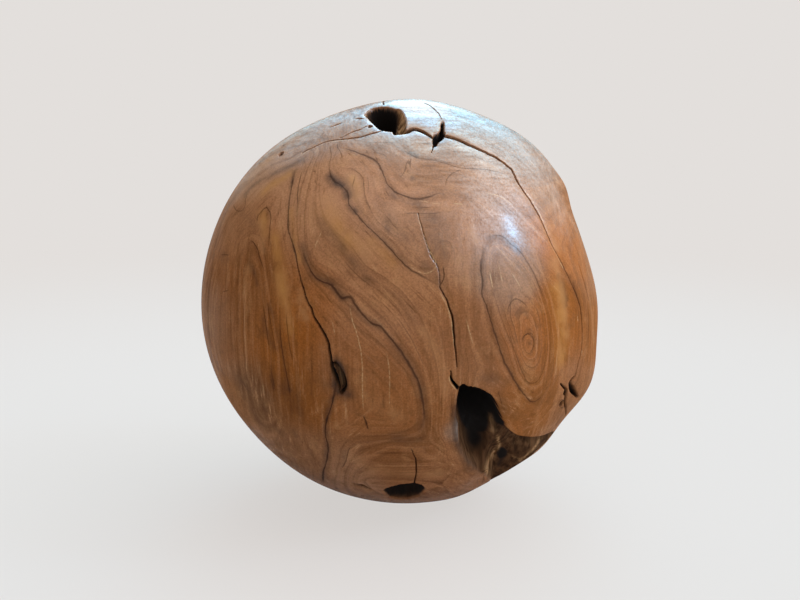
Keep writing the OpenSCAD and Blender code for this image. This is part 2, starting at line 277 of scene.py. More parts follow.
# Light scratches: route and strength
SCRATCHES = [
    ([(349.4, 303.7), (352, 319), (357.8, 337), (362, 360), (362.5, 389), (363.6, 412)], 0.8),
    ([(386.5, 351.7), (389.4, 373), (389.4, 409)], 0.7),
    ([(332.3, 321.5), (335, 335)], 0.7),
    ([(321.6, 232), (315, 246.6)], 0.9),
    ([(410, 267), (423.5, 273.5), (433, 270.5), (437, 264)], 0.7),
    ([(417.5, 213), (422, 230), (431, 253), (438, 266)], 1.0),
    ([(439, 291), (446, 304), (450.5, 318), (453, 334), (454, 348)], 0.9),
    ([(449, 376), (450.5, 383), (456, 390)], 0.9),
    ([(577.5, 316), (578, 322)], 1.0),
    ([(582, 350), (582, 356)], 1.0),
    ([(466, 318), (473, 345)], 0.7),
    ([(486, 192.8), (501, 196.8), (516, 207.5)], 0.6),
    ([(489, 269), (493, 289)], 0.9),
    ([(498, 262), (503, 284)], 0.6),
    ([(524.5, 190), (531, 198.5), (538.3, 210.8), (544, 223), (549, 233)], 0.95),
    ([(552, 246), (558, 258), (564, 270)], 0.8),
    ([(326, 142.5), (341, 140.5), (357, 137.5)], 0.6),
    ([(312, 148), (304.6, 153), (296, 158)], 0.6),
    ([(341, 149), (350, 153), (358, 157)], 0.5),
    ([(419, 200.5), (432, 203), (442, 204)], 0.5),
    ([(454, 203.5), (463, 204)], 0.9),
    ([(511, 272), (517, 281), (522, 291)], 0.7),
]

# Smoky bands, and painted shade along the hollow: route, half width in millimetres and strength
SMOKE_AND_SHADE = [
    ([(331, 177), (337, 183), (344, 188), (347.5, 195)], 5.4, 0.9),
    ([(350, 206), (356, 212)], 3.4, 0.7),
    ([(362, 220), (387, 244), (409, 267)], 2.6, 0.3),
    ([(320, 218), (325.5, 227), (338.6, 242.7), (347.7, 253), (357, 265), (368, 277)], 4.5, 0.52),
    ([(368, 277), (384, 285), (402, 300), (418, 322)], 5.0, 0.2),
    ([(302, 245), (308.5, 266), (316, 277), (330, 283), (342, 297)], 4.4, 0.58),
    ([(343, 298), (363, 316), (380, 327)], 4.0, 0.4),
    ([(390, 339), (404, 357), (413, 371), (420, 387), (424, 410), (421, 428)], 5.0, 0.4),
    ([(398, 437), (412, 440), (424, 438)], 7.0, 0.3),
    ([(355, 444), (375, 440), (398, 438)], 5.0, 0.2),
    ([(303, 160), (278, 172), (255, 184), (246, 193)], 5.0, 0.45),
    ([(240, 212), (250, 218), (256, 230)], 6.0, 0.2),
    ([(295, 170), (291.5, 186)], 2.2, 0.45),
    ([(250, 262), (255, 274), (257, 284)], 2.8, 0.5),
    ([(298, 190), (297, 215)], 3.5, 0.2),
    ([(333, 396), (326, 424), (327, 449), (323.5, 478)], 3.0, 0.55),
    ([(336, 387), (341, 391), (347, 395)], 6.0, 1.0),
    ([(335, 360), (342, 372), (344, 386)], 4.6, 0.95),
    ([(333, 366), (336, 380), (341, 391)], 4.4, 0.95),
    ([(345, 452), (343, 466)], 3.0, 0.3),
    ([(430, 216), (438, 232), (440, 248)], 11.0, 0.35),
    ([(420, 262), (436, 276), (441, 284)], 5.0, 0.35),
    ([(489, 237), (501, 236), (511, 244), (519, 251)], 3.0, 0.4),
    ([(482, 262), (482, 290)], 2.4, 0.3),
    ([(516, 314), (522, 311), (528, 316)], 2.4, 0.4),
    ([(484, 377), (497, 381)], 5.0, 0.3),
    ([(500, 395), (504, 412)], 4.0, 0.25),
    ([(411, 153), (416, 156)], 3.0, 0.8),
    ([(402, 150), (430, 158), (446, 160)], 4.0, 0.2),
    ([(302, 133), (311, 137), (325, 138.5)], 3.0, 0.3),
    ([(240, 378), (246, 388)], 5.0, 0.3),
    ([(266, 390), (270, 398)], 5.0, 0.3),
    ([(280, 385), (292, 398), (297, 412)], 9.0, 0.4),
    ([(274, 428), (280, 432)], 5.0, 0.25),
    ([(294, 432), (297, 436)], 4.0, 0.25),
    ([(262, 318), (268, 335), (275, 350)], 3.0, 0.35),
    ([(270, 305), (276, 330), (283, 356), (289, 390)], 2.4, 0.35),
    ([(222, 255), (226, 258)], 6.0, 0.15),
    ([(560, 262), (575, 296), (580, 325)], 3.0, 0.2),
    # Painted shade along the hollow's left edge and down its channel
    ([(458, 408), (456, 425), (457, 440), (463, 454), (473, 465), (481, 471)], 5.5, 0.8),
    ([(466, 460), (474, 469)], 7.0, 0.4),
    ([(404, 201), (420, 205)], 4.5, 0.42),
    ([(388, 189), (396, 198)], 3.5, 0.45),
    ([(386, 222), (388, 231)], 2.6, 0.5),
    ([(396, 177), (402, 177.5)], 1.6, 0.6),
    ([(412, 177.5), (413, 178.5)], 1.4, 0.8),
    ([(383, 205), (392, 222), (404, 236)], 6.0, 0.25),
]

# Pale bands: route, half width in millimetres and strength
PALE = [
    ([(334, 228), (350, 240), (368, 258)], 7.0, 0.25),
    ([(262, 222), (264, 250)], 4.5, 0.3),
    ([(279, 275), (287, 320)], 5.0, 0.25),
    ([(312, 210), (313, 232)], 5.0, 0.2),
    ([(300, 292), (306, 318)], 4.0, 0.25),
    ([(555, 262), (563, 300), (566, 335)], 7.0, 0.35),
    ([(546, 225), (556, 248)], 5.0, 0.35),
    ([(472, 228), (476, 242)], 4.0, 0.35),
    ([(424, 330), (440, 360), (446, 395)], 5.0, 0.2),
    ([(372, 400), (398, 415)], 9.0, 0.15),
    ([(370, 470), (440, 474)], 7.0, 0.2),
    ([(470, 160), (495, 168)], 4.0, 0.25),
    ([(590, 300), (594, 340)], 5.0, 0.2),
    ([(352, 176), (358, 198)], 6.0, 0.45),
    ([(325, 200), (332, 216)], 8.0, 0.35),
    ([(417, 147), (427, 150)], 6.0, 0.35),
]

# Golden bands: route, half width in millimetres and strength
GOLD = [
    ([(290, 174), (276, 182), (264, 192)], 6.5, 0.5),
    ([(262, 214), (266, 232)], 5.0, 0.5),
    ([(275, 236), (279, 265), (284, 300)], 6.0, 0.5),
    ([(291, 210), (294, 235), (300, 260)], 3.5, 0.35),
    ([(326, 216), (338, 228), (350, 246)], 8.0, 0.4),
    ([(284, 300), (290, 330)], 5.0, 0.3),
    ([(352, 178), (358, 196)], 4.0, 0.3),
    ([(556, 290), (562, 330), (560, 360)], 9.0, 0.4),
    ([(372, 240), (392, 262)], 6.0, 0.25),
]

# Painted light in the hollows, on lit walls, ridges and edges, with a little of the wood's own lighter
# colour: route in picture points, half width in them, strength
PAINTED_LIT_WOOD = [
    ([(399, 109), (402, 114), (403.5, 122), (401, 132)], 4.0, 1.0),
    ([(364, 114), (367, 111), (372, 109)], 2.0, 0.7),
    ([(367, 117), (373, 122)], 1.2, 0.5),
    ([(339, 367), (341.5, 377), (343, 384)], 1.0, 0.45),
    ([(490, 415), (492, 422), (494, 430)], 2.8, 0.45),
    ([(498, 437), (498.5, 447), (491, 456), (487, 466), (487, 476)], 1.5, 0.95),
    ([(494, 452), (490, 462), (488, 472)], 3.2, 0.45),
    ([(512, 440), (524, 442), (538, 440)], 5.0, 0.12),
    ([(463, 434), (467, 450), (474, 464)], 6.0, 0.13),
    ([(541, 437), (535, 447), (527, 455), (519, 461)], 0.9, 0.9),
    ([(508, 453), (514, 457), (520, 459)], 0.8, 0.5),
]

# Shaded wood inside the hollows, in the same terms
INNER_SHADE = [
    ([(472, 424), (473, 432), (474, 438)], 10.0, 0.9),
    ([(474, 442), (477, 454)], 8.0, 0.1),
    ([(545, 440), (532, 454), (520, 464)], 3.0, 0.6),
    ([(503, 456), (499, 464)], 3.0, 0.6),
]

# Painted shade, black in the hollows where they show darkest: outline in picture points, fade in them,
# strength
PAINTED_HOLLOW_SHADE = [
    ([(457, 388), (464, 384), (476, 386), (487, 391), (496, 401), (501, 411), (504, 422), (498, 420),
      (490, 413), (486, 417), (484, 428), (475, 429), (466, 424), (460, 407)], 6.0, 1.0),
    ([(366, 111), (372, 107), (382, 104.5), (394, 106), (396, 114), (395, 122), (395, 132), (388, 131),
      (380, 130), (374, 126), (369, 119)], 6.0, 0.9),
    ([(381, 491), (388, 487.5), (400, 484), (414, 482.5), (422, 486), (424, 489), (417, 491), (400, 492),
      (387, 492)], 7.0, 0.72),
    ([(498, 452), (500, 449.5), (503, 449.5), (505.5, 452), (504, 455), (500, 456)], 4.0, 1.0),
    ([(434, 145), (434, 136), (439, 131), (441, 124), (443, 121), (445, 127), (445, 134), (440, 141)], 3.0,
      1.0),
]

# Tones of the wood: picture point, spread in millimetres, warmth and lightness, and how polished it is
# Warmth and lightness carry painted light and shade too: lighter and cooler at the top and in the sheen,
# darker at the bottom
TONES_AND_PAINTED_LIGHT = [
    ((240, 285), 40, 0.75, 0.76, 0.05),
    ((285, 330), 25, 1.0, 0.86, 0.0),
    ((290, 395), 30, 0.95, 0.68, 0.0),
    ((262, 402), 24, 0.35, 0.48, 0.1),
    ((218, 310), 22, 0.4, 0.88, 0.25),
    ((300, 450), 32, 0.4, 0.8, 0.15),
    ((262, 168), 30, 0.05, 1.52, 0.6),
    ((318, 200), 32, 0.15, 1.5, 0.65),
    ((368, 190), 32, 0.25, 1.4, 0.8),
    ((340, 255), 30, 0.18, 1.4, 0.45),
    ((312, 290), 22, 0.8, 0.95, 0.05),
    ((390, 300), 32, 0.3, 1.25, 0.33),
    ((365, 370), 35, 0.65, 0.88, 0.1),
    ((398, 400), 28, 0.7, 0.87, 0.05),
    ((432, 360), 24, 0.55, 1.0, 0.17),
    ((420, 245), 26, 0.15, 1.25, 0.8),
    ((450, 225), 28, 0.25, 1.24, 1.0),
    ((470, 330), 26, 0.6, 0.74, 0.24),
    ((455, 432), 7, 0.1, 0.95, 0.9),
    ((500, 270), 28, 0.0, 1.04, 1.0),
    ((526, 335), 20, 0.8, 0.96, 0.27),
    ((560, 320), 25, 1.0, 0.8, 0.05),
    ((594, 330), 22, 0.8, 0.81, 0.05),
    ((562, 230), 30, 0.7, 1.27, 0.7),
    ((530, 412), 26, 0.8, 0.88, 0.02),
    ((508, 412), 12, 0.75, 0.64, 0.0),
    ((572, 402), 22, 0.55, 0.9, 0.15),
    ((400, 460), 30, 0.6, 0.74, 0.07),
    ((440, 468), 28, 0.45, 1.0, 0.12),
    ((350, 475), 28, 0.15, 1.1, 0.2),
    ((400, 140), 35, 0.2, 1.0, 1.0),
    ((380, 228), 18, 0.0, 1.75, 0.8),
    ((480, 180), 35, 0.2, 1.1, 1.0),
    ((438, 185), 16, 0.25, 0.98, 0.8),
    ((572, 242), 24, 1.0, 0.85, 0.15),
    ((236, 402), 20, 0.5, 0.95, 0.05),
    ((240, 235), 28, 0.35, 1.06, 0.24),
    ((520, 140), 35, 0.1, 0.9, 1.0),
    ((430, 108), 35, 0.2, 1.0, 1.0),
    ((310, 140), 35, 0.1, 1.2, 0.8),
    ((545, 200), 22, 0.2, 1.2, 1.0),
]
TONE_FLOOR = 0.02
BACK_TONE = (0.6, 0.9, 0.25)

# Where the growth lines show strongly: picture point, spread in millimetres, strength
FIGURES = [
    ((526, 335), 48, 1.0),
    ((265, 260), 45, 0.55),
    ((500, 215), 35, 0.4),
    ((410, 235), 22, 0.4),
    ((310, 190), 30, 0.4),
    ((400, 465), 40, 0.5),
    ((445, 165), 35, 0.5),
    ((575, 290), 35, 0.8),
]
PLAIN_FIGURE = 0.3

# The trunk's heart behind the face, and the width of a year's growth there
TRUNK_HEART = (-25 * MM, 70 * MM)
YEAR_W = 8 * MM
FACE_FADE = (math.radians(84), math.radians(118))

# Lengths that stand for out of reach and for none
FAR_OFF = 1e6
TINY = 1e-9


def unit(vectors):
    return vectors / np.linalg.norm(vectors, axis=-1, keepdims=True)


def soft_step(values):
    """Rises smoothly from 0 to 1 as the values go from 0 to 1."""
    values = np.clip(values, 0, 1)
    return values * values * (3 - 2 * values)


def rounded(away, spread):
    """Falls smoothly from 1 to 0 away from a middle."""
    return np.exp(-(away / spread) ** 2)


def aim(places_px, radius):
    """Directions, from the ball's middle, of what shows at picture points on a round of a radius."""
    places = np.atleast_2d(np.asarray(places_px, float))
    rays = np.column_stack([
        (places[:, 0] - MIDDLE_PX[0]) / FOCAL_PX,
        (MIDDLE_PX[1] - places[:, 1]) / FOCAL_PX,
        -np.ones(len(places)),
    ])
    rays = unit(rays)
    along = -rays[:, 2] * EYE_DISTANCE
    miss = EYE_DISTANCE ** 2 - along ** 2
    steps = along - np.sqrt(np.maximum(0, radius ** 2 - miss))
    hits = np.array([0, 0, EYE_DISTANCE]) + steps[:, None] * rays
    return unit(hits[:, :1] * VIEW_RIGHT + hits[:, 1:2] * VIEW_UP + hits[:, 2:] * VIEW_BACK)


SWELL_AIMS = [aim(place, BALL_R)[0] for place, _, _ in SWELLS]


def reach(directions):
    """Radius of the carved round in each direction."""
    radius = np.full(len(directions), BALL_R)
    for middle, (_, spread, height) in zip(SWELL_AIMS, SWELLS):
        turn = np.degrees(np.arccos(np.clip(directions @ middle, -1, 1)))
        radius = radius + height * MM * rounded(turn, spread)
    return radius


def spots(places_px, rounds=5):
    """Directions of the surface at picture points."""
    directions = aim(places_px, BALL_R)
    for _ in range(rounds):
        directions = aim(places_px, reach(directions))
    return directions


def flat(directions):
    """Flat map of the face: turn from the view's axis, laid out as lengths on the surface."""
    turn = np.arccos(np.clip(directions @ VIEW_BACK, -1, 1))
    sideways = np.column_stack([directions @ VIEW_RIGHT, directions @ VIEW_UP])
    size = np.maximum(np.linalg.norm(sideways, axis=1), TINY)
    return sideways * (BALL_R * turn / size)[:, None]


def on_map(places_px):
    """Places on the flat map of picture points."""
    return flat(spots(places_px))


def seen_at(points):
    """Picture points at which points in space show."""
    offset = points - MIDDLE
    depth = EYE_DISTANCE - offset @ VIEW_BACK
    return np.column_stack([MIDDLE_PX[0] + FOCAL_PX * (offset @ VIEW_RIGHT) / depth,
                            MIDDLE_PX[1] - FOCAL_PX * (offset @ VIEW_UP) / depth])


def smooth(route, parts=5):
    """Rounds the corners of a route with a curve through its points."""
    ends = np.vstack([2 * route[0] - route[1], route, 2 * route[-1] - route[-2]])
    points = []
    for a, b, c, d in zip(ends, ends[1:], ends[2:], ends[3:]):
        for t in np.arange(parts) / parts:
            points.append(b + t / 2 * (c - a + t * (2 * a - 5 * b + 4 * c - d + t * (3 * (b - c) + d - a))))
    points.append(route[-1])
    return np.array(points)


def beside(places, route, near=math.inf):
    """Distance of places from a route, with a sign for its side, and the share of the route passed there."""
    lengths = np.linalg.norm(np.diff(route, axis=0), axis=1)
    found = np.all((places > route.min(axis=0) - near) & (places < route.max(axis=0) + near), axis=1)
    spot = places[found]
    nearest = np.full(len(spot), np.inf)
    side = np.ones(len(spot))
    passed = np.zeros(len(spot))
    before = 0.0
    for start, end, length in zip(route, route[1:], lengths):
        run = (end - start) / length
        x, y = (spot - start).T
        along = np.clip(x * run[0] + y * run[1], 0, length)
        gap = (x - along * run[0]) ** 2 + (y - along * run[1]) ** 2
        closer = gap < nearest
        nearest[closer] = gap[closer]
        side[closer] = np.where(run[0] * y[closer] < run[1] * x[closer], -1, 1)
        passed[closer] = (before + along[closer]) / lengths.sum()
        before += length
    away = np.full(len(places), FAR_OFF)
    shares = np.zeros(len(places))
    away[found] = np.sqrt(nearest) * side
    shares[found] = passed
    return away, shares


def within(places, outline):
    """Which places lie inside a closed outline."""
    inside = np.zeros(len(places), bool)
    for (x0, y0), (x1, y1) in zip(outline, np.roll(outline, -1, axis=0)):
        spans = (y0 > places[:, 1]) != (y1 > places[:, 1])
        x = x0 + (places[spans, 1] - y0) / (y1 - y0) * (x1 - x0)
        inside[spans] ^= places[spans, 0] < x
    return inside


def lumps(points, size):
    """Smooth noise from about -1 to 1, with lumps of a size along each axis."""
    scaled = points / np.asarray(size)
    return np.array([noise.noise(Vector(p)) for p in scaled])


def shares_at(passed, shares):
    """Shares along a route, where they are listed at equal steps."""
    return np.interp(passed, np.linspace(0, 1, len(shares)), shares)


# Small bends of torn wood: their spacing and width, and a seed that keeps them the same in each run
BEND_SPACING = 7 * MM
BEND_W = 0.9 * MM
BEND_SEED = 4
noise.seed_set(BEND_SEED)


def jagged(route):
    """A route with the small bends of torn wood."""
    bends = [noise.noise_vector(Vector((x, y, 0)) / BEND_SPACING) for x, y in route]
    bends = np.array([(bend.x, bend.y) for bend in bends])
    bends[[0, -1]] = 0
    return route + BEND_W * bends


# Routes and outlines on the flat map
CRACK_ROUTES = [jagged(smooth(on_map(route))) for route, _, _, _ in CRACKS]
CROWN_HOLE_EDGE = smooth(on_map(CROWN_HOLE + CROWN_HOLE[:1]))
CROWN_CHIP_EDGE = smooth(on_map(CROWN_CHIP + CROWN_CHIP[:1]))
CROWN_PIT_EDGE = smooth(on_map(CROWN_PIT + CROWN_PIT[:1]))
BASE_HOLE_EDGE = on_map(BASE_HOLE + BASE_HOLE[:1])
BASE_SOFT = on_map(BASE_SOFT_EDGE)
RIM = smooth(on_map(HOLLOW_RIM), 3)
SOFT_EDGE = np.vstack([FAR_EDGE_SHARE * on_map(HOLLOW_FAR_EDGE), on_map(HOLLOW_LEFT_EDGE)])
LEFT_EDGE = on_map(HOLLOW_LEFT_EDGE)
HOLLOW_EDGE = np.vstack([RIM, SOFT_EDGE])
DEEP = on_map(HOLLOW_DEEP)
CHANNEL = smooth(on_map(HOLLOW_CHANNEL))
RIDGE = smooth(on_map(HOLLOW_RIDGE))
POCKET = on_map(HOLLOW_POCKET)[0]
WORM_SPOTS = [on_map(place)[0] for place, _, _ in WORM_HOLES]

# Holes of the crown: outline, depth and run of the wall in millimetres, and steepness of the wall
CROWN_HOLES = [
    (CROWN_HOLE_EDGE, 60, 13, 1.8),
    (CROWN_CHIP_EDGE, 11, 9, 1.2),
    (CROWN_PIT_EDGE, 22, 4.5, 1.5),
]
HOLE_LIP_DROP = 1.0 * MM
HOLE_LIP_W = 4 * MM

# Hole near the base: its depth, the run of its wall, and how far its floor rises from the soft edge
BASE_HOLE_DEPTH = 48 * MM
BASE_HOLE_WALL = 12 * MM
BASE_HOLE_RISE = 30 * MM

# Side hollow: depths and heights of its forms, and the widths over which they fall away
SCOOP_DEPTH = 21 * MM
SCOOP_WALL = 8 * MM
SCOOP_RISE = 34 * MM
CHANNEL_DEPTH = 15 * MM
CHANNEL_W = 15 * MM
CHANNEL_RISE = 14 * MM
RIDGE_H = 10 * MM
RIDGE_W = 6 * MM
POCKET_DEPTH = 9 * MM
POCKET_R = 6 * MM
FORM_WALL = 7 * MM
FORM_RISE = 9 * MM
DEEP_DEPTH = 66 * MM
DEEP_R = 23 * MM
ARCH_LEAN = 0.4
TEAR_H = 1.4 * MM
TEAR_SIZE = (3.4 * MM, 26 * MM, 1)
BARE_FROM_LEFT = 8 * MM
BARE_FROM_RIM = 1.5 * MM

# Edge lengths that the mesh aims at
BACK_EDGE = 7.6 * MM
FACE_EDGE = 3.8 * MM
RIM_EDGE = 1.1 * MM
FLOOR_EDGE = 1.8 * RIM_EDGE
CRACK_EDGE = 0.62 * MM
GRADING = 0.35
EDGE_SLACK = 1.35
FACE_TURN = math.radians(100)
FIRST_SPLITS = 6
SPLIT_ROUNDS = 5

# How far from a rim or a crack its own form is looked for
RIM_REACH = 20 * MM
CRACK_REACH = 12 * MM
LEAST_HALF_GAP = 0.35 * MM


def wanted_edge(directions):
    """Edge length that the surface wants: fine at cracks and rims, wide on the plain back."""
    places = flat(directions)
    face = directions @ VIEW_BACK > math.cos(FACE_TURN)
    edge = np.where(face, FACE_EDGE, BACK_EDGE)
    for route, (_, gap, _, shares) in zip(CRACK_ROUTES, CRACKS):
        away, passed = beside(places[face], route, RIM_REACH)
        away = np.abs(away) - gap * MM / 2 * shares_at(passed, shares)
        edge[face] = np.minimum(edge[face], np.maximum(CRACK_EDGE, GRADING * away))
    for outline in (CROWN_HOLE_EDGE, CROWN_CHIP_EDGE, CROWN_PIT_EDGE, BASE_HOLE_EDGE, RIM):
        away = np.abs(beside(places[face], outline, RIM_REACH)[0])
        edge[face] = np.minimum(edge[face], np.maximum(RIM_EDGE, GRADING * (away - 2 * RIM_EDGE)))
    hollow = np.zeros(len(places), bool)
    for outline in (CROWN_HOLE_EDGE, BASE_HOLE_EDGE, HOLLOW_EDGE):
        hollow[face] |= within(places[face], outline)
    edge[hollow] = np.minimum(edge[hollow], FLOOR_EDGE)
    for spot, (_, width, _) in zip(WORM_SPOTS, WORM_HOLES):
        away = np.linalg.norm(places - spot, axis=1) - width * MM / 2
        edge = np.minimum(edge, np.maximum(CRACK_EDGE, GRADING * away))
    return edge


def mesh_points(piece):
    points = np.empty(3 * len(piece.data.vertices))
    piece.data.vertices.foreach_get("co", points)
    return points.reshape(-1, 3)


def set_points(piece, points):
    piece.data.vertices.foreach_set("co", points.ravel())
    piece.data.update()


def add_round():
    """A plain round, split finer where the surface wants it."""
    bpy.ops.object.select_all(action="DESELECT")
    bpy.ops.mesh.primitive_ico_sphere_add(subdivisions=FIRST_SPLITS, radius=BALL_R, location=MIDDLE)
    piece = bpy.context.object
    piece.name = "wooden_ball"
    bpy.ops.object.transform_apply(location=True, rotation=False, scale=False)
    bpy.context.tool_settings.mesh_select_mode = (False, True, False)
    for _ in range(SPLIT_ROUNDS):
        points = mesh_points(piece)
        ends = np.empty(2 * len(piece.data.edges), np.int32)
        piece.data.edges.foreach_get("vertices", ends)
        ends = ends.reshape(-1, 2)
        middles = points[ends].mean(axis=1) - MIDDLE
        lengths = np.linalg.norm(np.diff(points[ends], axis=1)[:, 0], axis=1)
        long_edges = lengths > EDGE_SLACK * wanted_edge(unit(middles))
        piece.data.vertices.foreach_set("select", np.zeros(len(points), bool))
        piece.data.polygons.foreach_set("select", np.zeros(len(piece.data.polygons), bool))
        piece.data.edges.foreach_set("select", long_edges)
        bpy.ops.object.mode_set(mode="EDIT")
        bpy.ops.mesh.subdivide(number_cuts=1, ngon=False)
        bpy.ops.mesh.select_all(action="SELECT")
        bpy.ops.mesh.quads_convert_to_tris(quad_method="SHORTEST_DIAGONAL", ngon_method="BEAUTY")
        bpy.ops.object.mode_set(mode="OBJECT")
        set_points(piece, MIDDLE + BALL_R * unit(mesh_points(piece) - MIDDLE))
    return piece


def wall(away, run, steepness):
    """Share of a hole's depth at a distance in from its edge."""
    return 1 - (1 - np.clip(away / run, 0, 1)) ** steepness


def crack_depth(places):
    """Depth of all cracks, and how far their edges drop."""
    depth = np.zeros(len(places))
    lip = np.zeros(len(places))
    for route, (_, gap, deep, shares) in zip(CRACK_ROUTES, CRACKS):
        away, passed = beside(places, route, CRACK_REACH)
        share = shares_at(passed, shares)
        half = np.maximum(gap * MM / 2 * share, LEAST_HALF_GAP)
        inside = np.clip(1 - np.abs(away) / half, 0, 1)
        depth = np.maximum(depth, deep * MM * np.minimum(1, 0.4 + share) * inside ** 0.7)
        out = np.maximum(np.abs(away) - half, 0)
        roll = gap * share / 4
        drop = CRACK_LIP_DROP * (0.12 + 2 * roll)
        lip = np.maximum(lip, drop * np.exp(-out / (CRACK_LIP_W * (1 + 2 * roll))))
    for edge in (CROWN_HOLE_EDGE, CROWN_PIT_EDGE):
        out = np.abs(beside(places, edge, RIM_REACH)[0])
        lip = np.maximum(lip, HOLE_LIP_DROP * np.exp(-out / HOLE_LIP_W))
    return depth, lip


def hole_depth(places):
    """Depth of the crown's and base's holes and of the worm holes."""
    depth = np.zeros(len(places))
    for edge, deep, run, steepness in CROWN_HOLES:
        inside = within(places, edge)
        away = np.abs(beside(places[inside], edge)[0])
        depth[inside] = np.maximum(depth[inside], deep * MM * wall(away, run * MM, steepness))
    inside = within(places, BASE_HOLE_EDGE)
    away = np.abs(beside(places[inside], BASE_HOLE_EDGE)[0])
    up = np.abs(beside(places[inside], BASE_SOFT)[0])
    depth[inside] = BASE_HOLE_DEPTH * wall(away, BASE_HOLE_WALL, 1.8) * soft_step(up / BASE_HOLE_RISE) ** 0.7
    worm = np.zeros(len(places))
    for spot, (_, width, deep) in zip(WORM_SPOTS, WORM_HOLES):
        away = np.linalg.norm(places - spot, axis=1)
        worm = np.maximum(worm, deep * MM * np.clip(1.35 - away / (width * MM / 2), 0, 1) ** 0.6)
    return np.maximum(depth, worm), worm


def hollow_depth(places):
    """Depth of the side hollow: scooped ground, the deep part under the arch, and where its wood is bare."""
    ground = np.zeros(len(places))
    deep = np.zeros(len(places))
    bare = np.zeros(len(places))
    inside = within(places, HOLLOW_EDGE)
    spot = places[inside]
    rim = np.abs(beside(spot, RIM)[0])
    soft = np.abs(beside(spot, SOFT_EDGE)[0])
    scoop = SCOOP_DEPTH * wall(rim, SCOOP_WALL, 2.2) * soft_step(soft / SCOOP_RISE) ** 0.8
    channel = CHANNEL_DEPTH * rounded(beside(spot, CHANNEL)[0], CHANNEL_W) * soft_step(soft / CHANNEL_RISE)
    ridge = RIDGE_H * rounded(beside(spot, RIDGE)[0], RIDGE_W)
    pocket = POCKET_DEPTH * soft_step(1.4 - np.linalg.norm(spot - POCKET, axis=1) / POCKET_R)
    edge = wall(rim, FORM_WALL, 1.6) * soft_step(soft / FORM_RISE)
    ground[inside] = np.maximum(0, scoop + (channel - ridge + pocket) * edge)
    deep[inside] = DEEP_DEPTH * soft_step(1.3 - np.abs(beside(spot, DEEP)[0]) / DEEP_R) * edge
    torn = lumps(np.column_stack([spot, np.zeros(len(spot))]), TEAR_SIZE)
    ground[inside] += TEAR_H * torn * edge
    left = np.abs(beside(spot, LEFT_EDGE)[0])
    bare[inside] = soft_step(left / BARE_FROM_LEFT) * soft_step(rim / BARE_FROM_RIM)
    return ground, deep, bare


# The carved ball: each point of the round drops to its own depth
piece = add_round()
directions = unit(mesh_points(piece) - MIDDLE)
places = flat(directions)
cracks, lips = crack_depth(places)
holes, worm = hole_depth(places)
ground, deep, bare = hollow_depth(places)
sunk = np.maximum(np.maximum(cracks, holes), ground + deep)
under_arch = unit(spots(ARCH_TOP) - spots(ARCH_FOOT))[0]
points = MIDDLE + (reach(directions) - sunk - lips)[:, None] * directions
points += ARCH_LEAN * deep[:, None] * under_arch
set_points(piece, points)
bpy.ops.object.select_all(action="DESELECT")
piece.select_set(True)
bpy.context.view_layer.objects.active = piece
bpy.ops.object.shade_smooth()


# Spacing of the marks along growth lines, the sheet's slack, and how many places are worked at a time
GROWTH_STEP = 14 * MM
SHEET_SLACK = 2e-4
PART_COUNT = 4000

# Grain: twice the angle of each run on the flat map, how far its lines reach, and the pull to upright
LEANS = {"upright": 180, "falling": -90, "level": 0, "rising": 90}
LEAN_REACH = 22 * MM
UPRIGHT_PULL = (-0.02, 0.0)
FLANK_START = 0.72
FLANK_FADE = 0.2


def in_parts(count):
    """Numbers of all places, split into parts that are worked one after another."""
    return np.array_split(np.arange(count), max(1, count // PART_COUNT))


def even_spread(places, marks, levels):
    """Smooth sheet over places of the flat map, through the levels that hold at marks there."""

    def bend(gap):
        gap = np.maximum(gap, TINY)
        return gap * gap * np.log(gap)

    known = marks / BALL_R
    gaps = np.linalg.norm(known[:, None] - known[None], axis=2)
    count = len(known)
    flat_part = np.column_stack([np.ones(count), known])
    system = np.zeros((count + 3, count + 3))
    system[:count, :count] = bend(gaps) + SHEET_SLACK * np.eye(count)
    system[:count, count:] = flat_part
    system[count:, :count] = flat_part.T
    weights = np.linalg.solve(system, np.append(levels, np.zeros(3)))
    sheet = np.empty(len(places))
    for part in in_parts(len(places)):
        at = places[part] / BALL_R
        sheet[part] = bend(np.linalg.norm(at[:, None] - known[None], axis=2)) @ weights[:count]
        sheet[part] += weights[count] + at @ weights[count + 1:]
    return sheet


def along(route, step):
    """Points at even steps along a route."""
    lengths = np.append(0, np.cumsum(np.linalg.norm(np.diff(route, axis=0), axis=1)))
    marks = np.linspace(0, lengths[-1], max(2, int(lengths[-1] / step) + 1))
    return np.column_stack([np.interp(marks, lengths, route[:, i]) for i in range(2)])


GROWTH_MARKS = [along(smooth(on_map(route)), GROWTH_STEP) for _, route in GROWTH_LINES]


def growth_levels(directions, places, points):
    """Growth of the wood: the drawn lines on the face, and rings round the trunk's heart behind it."""
    levels = [np.full(len(marks), level) for marks, (level, _) in zip(GROWTH_MARKS, GROWTH_LINES)]
    turn = np.arccos(np.clip(directions @ VIEW_BACK, -1, 1))
    behind = soft_step((turn - FACE_FADE[0]) / (FACE_FADE[1] - FACE_FADE[0]))
    front = behind < 1
    drawn = np.zeros(len(places))
    drawn[front] = even_spread(places[front], np.vstack(GROWTH_MARKS), np.concatenate(levels))
    rings = np.linalg.norm(points[:, :2] - np.array(TRUNK_HEART), axis=1) / YEAR_W
    return (1 - behind) * drawn + behind * rings


